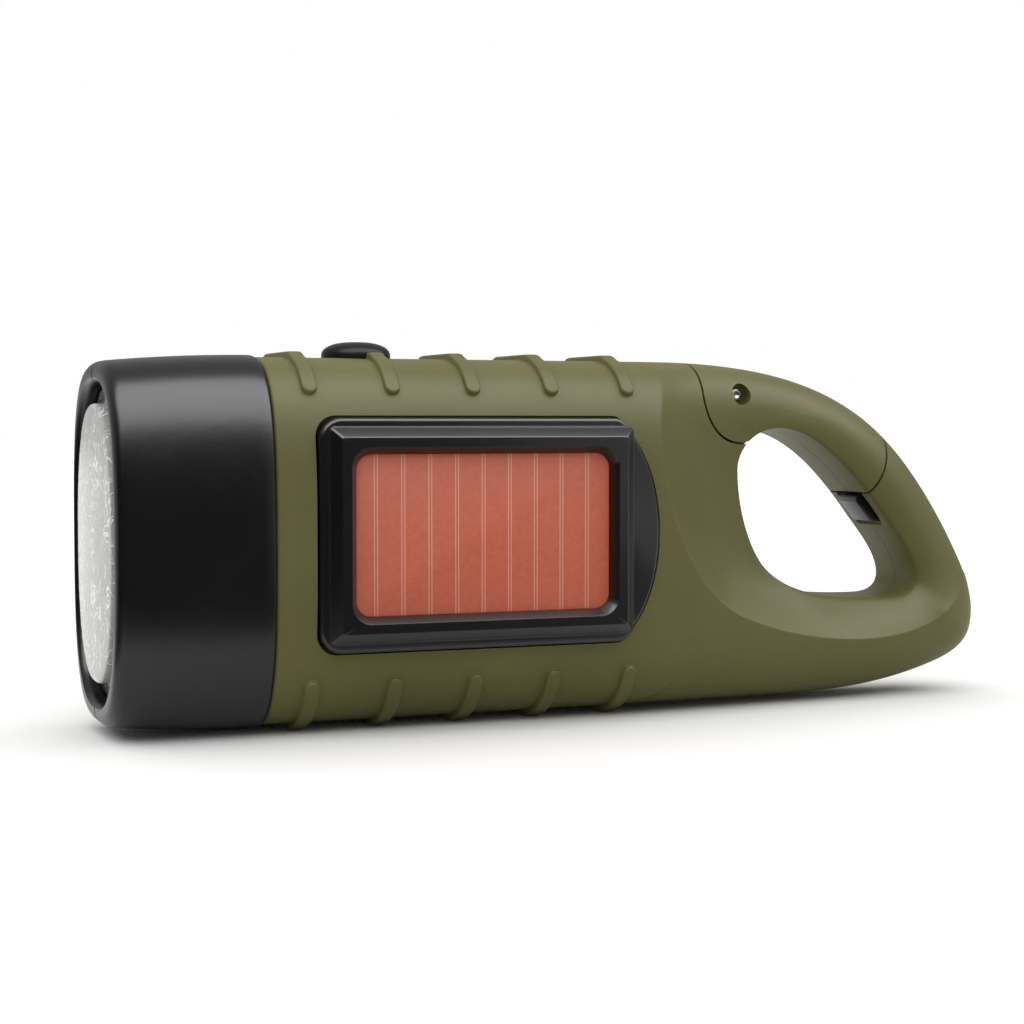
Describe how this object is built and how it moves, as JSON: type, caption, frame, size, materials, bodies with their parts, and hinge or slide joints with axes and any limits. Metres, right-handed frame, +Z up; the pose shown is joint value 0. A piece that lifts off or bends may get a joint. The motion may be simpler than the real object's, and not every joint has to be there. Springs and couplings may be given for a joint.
{
  "type": "hand crank flashlight",
  "caption": "Hand crank pocket torch: ribbed two-shell body, oval lens head, solar cell in a bezel, push button, folding crank and a sprung carabiner loop.",
  "frame": {"origin": "middle of the bounding box, on the floor that the ribs stand on", "axes": "+X along the torch from the lens to the loop, +Y out of the crank side, +Z up; the solar cell faces -Y"},
  "size_m": [0.1394, 0.0428, 0.054],
  "materials": {
    "olive_plastic": "satin, finely grained",
    "black_plastic": "satin",
    "gloss_black": "gloss",
    "rubber": "matte",
    "clear_plastic": "clear, polished",
    "lamp_resin": "clear",
    "silvered_plastic": "metallised, bright",
    "cell": "gloss",
    "steel": "bright",
    "copper": "varnished wire",
    "board": "satin",
    "white_plastic": "satin",
    "battery_sleeve": "shrunk film"
  },
  "bodies": {
    "housing": {"solar_shell": "olive_plastic", "crank_shell": "olive_plastic", "housing_screw_1": "steel", "housing_screw_2": "steel", "housing_screw_3": "steel", "housing_screw_4": "steel", "housing_screw_5": "steel", "gate_pin": "steel", "gate_spring": "steel", "head_cover_near": "black_plastic", "head_cover_far": "black_plastic", "lens": "clear_plastic", "lens_gasket": "rubber", "reflector": "silvered_plastic", "led_board": "board", "led_1": "lamp_resin", "led_2": "lamp_resin", "led_3": "lamp_resin", "solar_bezel": "gloss_black", "solar_cell": "cell", "solar_cell_pad": "rubber", "switch_body": "black_plastic", "main_board": "board", "battery": "battery_sleeve", "battery_cradle": "black_plastic", "gear_frame_inner": "white_plastic", "gear_frame_outer": "white_plastic", "gear_frame_screw_1": "steel", "gear_frame_screw_2": "steel", "gear_frame_screw_3": "steel", "idler_axle_1": "steel", "idler_axle_2": "steel", "coil": "copper", "generator_can": "steel", "crank_bush": "white_plastic"},
    "crank": {"crank_arm": "olive_plastic", "crank_shaft": "steel", "crank_gear": "white_plastic", "crank_screw": "steel", "knob_pin": "steel"},
    "idler_1": {"idler_gear_1": "white_plastic"},
    "idler_2": {"idler_gear_2": "white_plastic"},
    "rotor": {"rotor": "steel"},
    "knob_post": {"knob_post": "black_plastic"},
    "knob_sleeve": {"knob_sleeve": "black_plastic"},
    "gate": {"gate_near": "olive_plastic", "gate_far": "olive_plastic", "latch_tongue": "black_plastic"},
    "button": {"power_button": "rubber"}
  },
  "joints": [
    {"name": "crank_spin", "type": "hinge", "parent": "housing", "child": "crank", "pos_m": [-0.03145, 0.01625, 0.02615], "axis": [0, 1, 0], "continuous": true},
    {"name": "idler_1_spin", "type": "hinge", "parent": "housing", "child": "idler_1", "pos_m": [-0.01491, 0.00185, 0.02013], "axis": [0, 1, 0], "continuous": true},
    {"name": "idler_2_spin", "type": "hinge", "parent": "housing", "child": "idler_2", "pos_m": [-0.01053, 0.00185, 0.03216], "axis": [0, 1, 0], "continuous": true},
    {"name": "rotor_spin", "type": "hinge", "parent": "housing", "child": "rotor", "pos_m": [-0.00413, -0.00615, 0.02107], "axis": [0, 1, 0], "continuous": true},
    {"name": "knob_fold", "type": "hinge", "parent": "crank", "child": "knob_post", "pos_m": [0.00255, 0.01625, 0.02615], "axis": [0, 0, -1], "range_deg": [0, 90]},
    {"name": "knob_spin", "type": "hinge", "parent": "knob_post", "child": "knob_sleeve", "pos_m": [-0.00945, 0.01785, 0.02615], "axis": [1, 0, 0], "continuous": true},
    {"name": "gate_hinge", "type": "hinge", "parent": "housing", "child": "gate", "pos_m": [0.02585, -0.00315, 0.0467], "axis": [0, 1, 0], "range_deg": [0, 28], "stiffness_Nm_per_rad": 0.02, "springref_deg": -28.65},
    {"name": "button_slide", "type": "slide", "parent": "housing", "child": "button", "axis": [0, 0, -1], "range_m": [0, 0.001], "stiffness_N_per_m": 400, "springref_m": -0.002}
  ],
  "couplings": [
    {"joint": "idler_1_spin", "follows": "crank_spin", "ratio": -4.5},
    {"joint": "idler_2_spin", "follows": "crank_spin", "ratio": 13.5},
    {"joint": "rotor_spin", "follows": "crank_spin", "ratio": -40.5}
  ]
}
